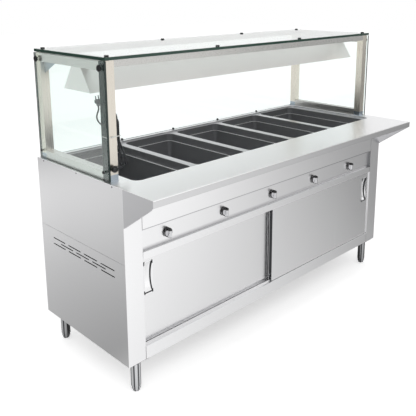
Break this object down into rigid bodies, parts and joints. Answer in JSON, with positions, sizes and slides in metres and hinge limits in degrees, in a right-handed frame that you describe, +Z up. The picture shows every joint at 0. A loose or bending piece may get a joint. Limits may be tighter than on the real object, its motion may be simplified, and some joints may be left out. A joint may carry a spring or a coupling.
{
  "type": "steam table unit",
  "caption": "Freestanding stainless steam table with a row of heated wells, knobs, sliding doors, plate shelf and a glass food guard with a lamp hood.",
  "frame": {"origin": "on the floor under the middle of the whole unit, plate shelf included", "axes": "+X along the table from the lamp cord's end to the far end, +Y from the operator's doors and shelf to the back, +Z up"},
  "size_m": [1.829, 0.816, 1.382],
  "materials": {
    "cabinet_steel": "brushed stainless sheet",
    "well_steel": "drawn galvanised and stainless, dull",
    "guard_tube": "satin stainless tube",
    "guard_glass": "clear toughened",
    "black_plastic": "moulded black",
    "knob_black": "moulded, satin",
    "polished_steel": "polished",
    "hood_steel": "satin sheet",
    "lamp_quartz": "clear quartz",
    "lamp_ceramic": "unglazed",
    "heater_sheath": "heat-darkened",
    "cord_black": "matte jacket",
    "plug_grey": "moulded grey",
    "tie_white": "natural nylon",
    "glide_nylon": "nylon"
  },
  "bodies": {
    "cabinet": {"front_posts": "cabinet_steel", "rear_posts": "cabinet_steel", "upper_side_panels": "cabinet_steel", "lower_side_panels": "cabinet_steel", "back_panel": "cabinet_steel", "cabinet_floor": "cabinet_steel", "worktop": "cabinet_steel", "shelf_gussets": "cabinet_steel", "upper_fascia": "cabinet_steel", "control_panel": "cabinet_steel", "door_head_rail": "cabinet_steel", "door_sill": "cabinet_steel", "well_deck": "cabinet_steel", "leg_sleeves": "cabinet_steel", "panel_screws": "polished_steel", "glass_standoffs": "polished_steel", "power_gland": "black_plastic", "thermostats": "black_plastic", "standoff_caps": "black_plastic", "rear_glass_clips": "black_plastic", "cord_grommet": "black_plastic", "well_liner_1": "well_steel", "well_liner_2": "well_steel", "well_liner_3": "well_steel", "well_liner_4": "well_steel", "well_liner_5": "well_steel", "well_jacket": "well_steel", "heating_elements": "heater_sheath", "guard_posts": "guard_tube", "guard_side_rails": "guard_tube", "guard_cross_rails": "guard_tube", "guard_corner_plates": "guard_tube", "top_glass": "guard_glass", "left_glass": "guard_glass", "right_glass": "guard_glass", "rear_glass": "guard_glass", "light_hood": "hood_steel", "hood_lamps": "lamp_quartz", "lamp_sockets": "lamp_ceramic", "lamp_cord": "cord_black", "cord_hank": "cord_black", "cord_plug": "plug_grey", "cord_tie": "tie_white"},
    "left_door": {"left_door_skin": "cabinet_steel", "left_door_liner": "cabinet_steel", "left_door_pull": "polished_steel", "left_door_glides": "glide_nylon"},
    "right_door": {"right_door_skin": "cabinet_steel", "right_door_liner": "cabinet_steel", "right_door_pull": "polished_steel", "right_door_glides": "glide_nylon"},
    "foot_front_left_body": {"foot_front_left": "polished_steel"},
    "foot_front_right_body": {"foot_front_right": "polished_steel"},
    "foot_rear_left_body": {"foot_rear_left": "polished_steel"},
    "foot_rear_right_body": {"foot_rear_right": "polished_steel"},
    "knob_1_body": {"knob_1": "knob_black"},
    "knob_2_body": {"knob_2": "knob_black"},
    "knob_3_body": {"knob_3": "knob_black"},
    "knob_4_body": {"knob_4": "knob_black"},
    "knob_5_body": {"knob_5": "knob_black"}
  },
  "joints": [
    {"name": "knob_1_turn", "type": "hinge", "parent": "cabinet", "child": "knob_1_body", "pos_m": [-0.692, -0.213, 0.66], "axis": [0, 1, 0], "range_deg": [0, 300]},
    {"name": "knob_2_turn", "type": "hinge", "parent": "cabinet", "child": "knob_2_body", "pos_m": [-0.362, -0.213, 0.66], "axis": [0, 1, 0], "range_deg": [0, 300]},
    {"name": "knob_3_turn", "type": "hinge", "parent": "cabinet", "child": "knob_3_body", "pos_m": [-0.032, -0.213, 0.66], "axis": [0, 1, 0], "range_deg": [0, 300]},
    {"name": "knob_4_turn", "type": "hinge", "parent": "cabinet", "child": "knob_4_body", "pos_m": [0.298, -0.213, 0.66], "axis": [0, 1, 0], "range_deg": [0, 300]},
    {"name": "knob_5_turn", "type": "hinge", "parent": "cabinet", "child": "knob_5_body", "pos_m": [0.628, -0.213, 0.66], "axis": [0, 1, 0], "range_deg": [0, 300]},
    {"name": "left_door_slide", "type": "slide", "parent": "cabinet", "child": "left_door", "axis": [1, 0, 0], "range_m": [0, 0.79]},
    {"name": "right_door_slide", "type": "slide", "parent": "cabinet", "child": "right_door", "axis": [-1, 0, 0], "range_m": [0, 0.79]},
    {"name": "foot_front_left_screw", "type": "slide", "parent": "cabinet", "child": "foot_front_left_body", "axis": [0, 0, -1], "range_m": [0, 0.025]},
    {"name": "foot_front_right_screw", "type": "slide", "parent": "cabinet", "child": "foot_front_right_body", "axis": [0, 0, -1], "range_m": [0, 0.025]},
    {"name": "foot_rear_left_screw", "type": "slide", "parent": "cabinet", "child": "foot_rear_left_body", "axis": [0, 0, -1], "range_m": [0, 0.025]},
    {"name": "foot_rear_right_screw", "type": "slide", "parent": "cabinet", "child": "foot_rear_right_body", "axis": [0, 0, -1], "range_m": [0, 0.025]}
  ]
}
